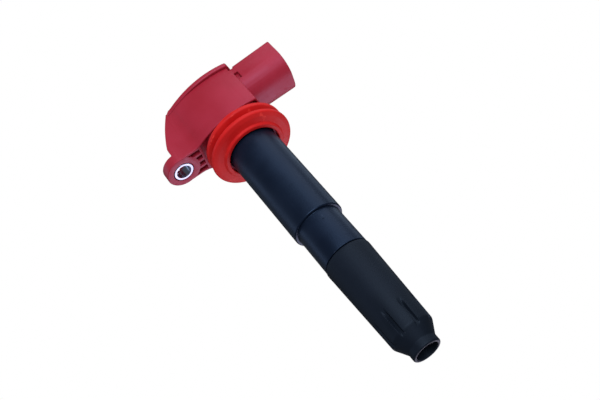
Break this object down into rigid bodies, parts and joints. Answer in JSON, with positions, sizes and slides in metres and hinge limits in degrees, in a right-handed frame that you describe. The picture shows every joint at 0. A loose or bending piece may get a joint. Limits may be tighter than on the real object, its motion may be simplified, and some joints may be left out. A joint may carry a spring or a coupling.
{
  "type": "pencil ignition coil",
  "caption": "Pencil ignition coil with driver head, bolt ear, plug socket, lipped sealing ring, coil tube and fluted spark plug boot.",
  "frame": {"origin": "where the coil's long axis crosses the mounting face under the head and ear", "axes": "+Z along the coil from the boot to the head, +X out of the plug socket, the bolt ear on -X"},
  "size_m": [0.0762, 0.0408, 0.1649],
  "materials": {
    "head_plastic": "dull crimson glass-filled plastic",
    "red_silicone": "bright red silicone rubber",
    "case_plastic": "blue-black satin plastic",
    "boot_rubber": "black silicone rubber",
    "plated_steel": "zinc-plated steel",
    "tinned_brass": "tin-plated brass",
    "brass": "bare brass",
    "copper": "enamelled copper wire",
    "electrical_steel": "grey laminated steel",
    "magnet": "dark sintered magnet",
    "spring_steel": "bright spring wire",
    "black_plastic": "black plastic",
    "board": "green circuit board",
    "capacitor_body": "brown dipped capacitor",
    "resin": "black cast resin",
    "bobbin_plastic": "natural plastic",
    "core_rubber": "soft black rubber",
    "ceramic": "ceramic body with end caps"
  },
  "bodies": {
    "coil": {"housing": "head_plastic", "top_cover": "head_plastic", "bolt_bushing": "plated_steel", "terminal_1": "tinned_brass", "terminal_2": "tinned_brass", "terminal_3": "tinned_brass", "terminal_4": "tinned_brass", "module_carrier": "black_plastic", "driver_board": "board", "driver_chip": "black_plastic", "capacitor": "capacitor_body", "heat_spreader": "copper", "sealing_resin": "resin", "case_resin": "resin", "winding_lead_1": "copper", "winding_lead_2": "copper", "coil_seal": "red_silicone", "coil_case": "case_plastic", "core_shield": "electrical_steel", "primary_winding": "copper", "primary_bobbin": "bobbin_plastic", "secondary_winding": "copper", "secondary_bobbin": "bobbin_plastic", "core_cushion_upper": "core_rubber", "core_magnet_upper": "magnet", "iron_core": "electrical_steel", "core_magnet_lower": "magnet", "core_cushion_lower": "core_rubber", "high_voltage_diode": "black_plastic", "high_voltage_terminal": "brass", "suppression_resistor": "ceramic", "plug_boot": "boot_rubber", "contact_spring": "spring_steel"},
    "contact": {"plug_contact": "brass"}
  },
  "joints": [
    {"name": "contact_travel", "type": "slide", "parent": "coil", "child": "contact", "axis": [0, 0, 1], "range_m": [0, 0.005], "stiffness_N_per_m": 600, "springref_m": -0.002, "deforming": ["contact_spring"]}
  ]
}
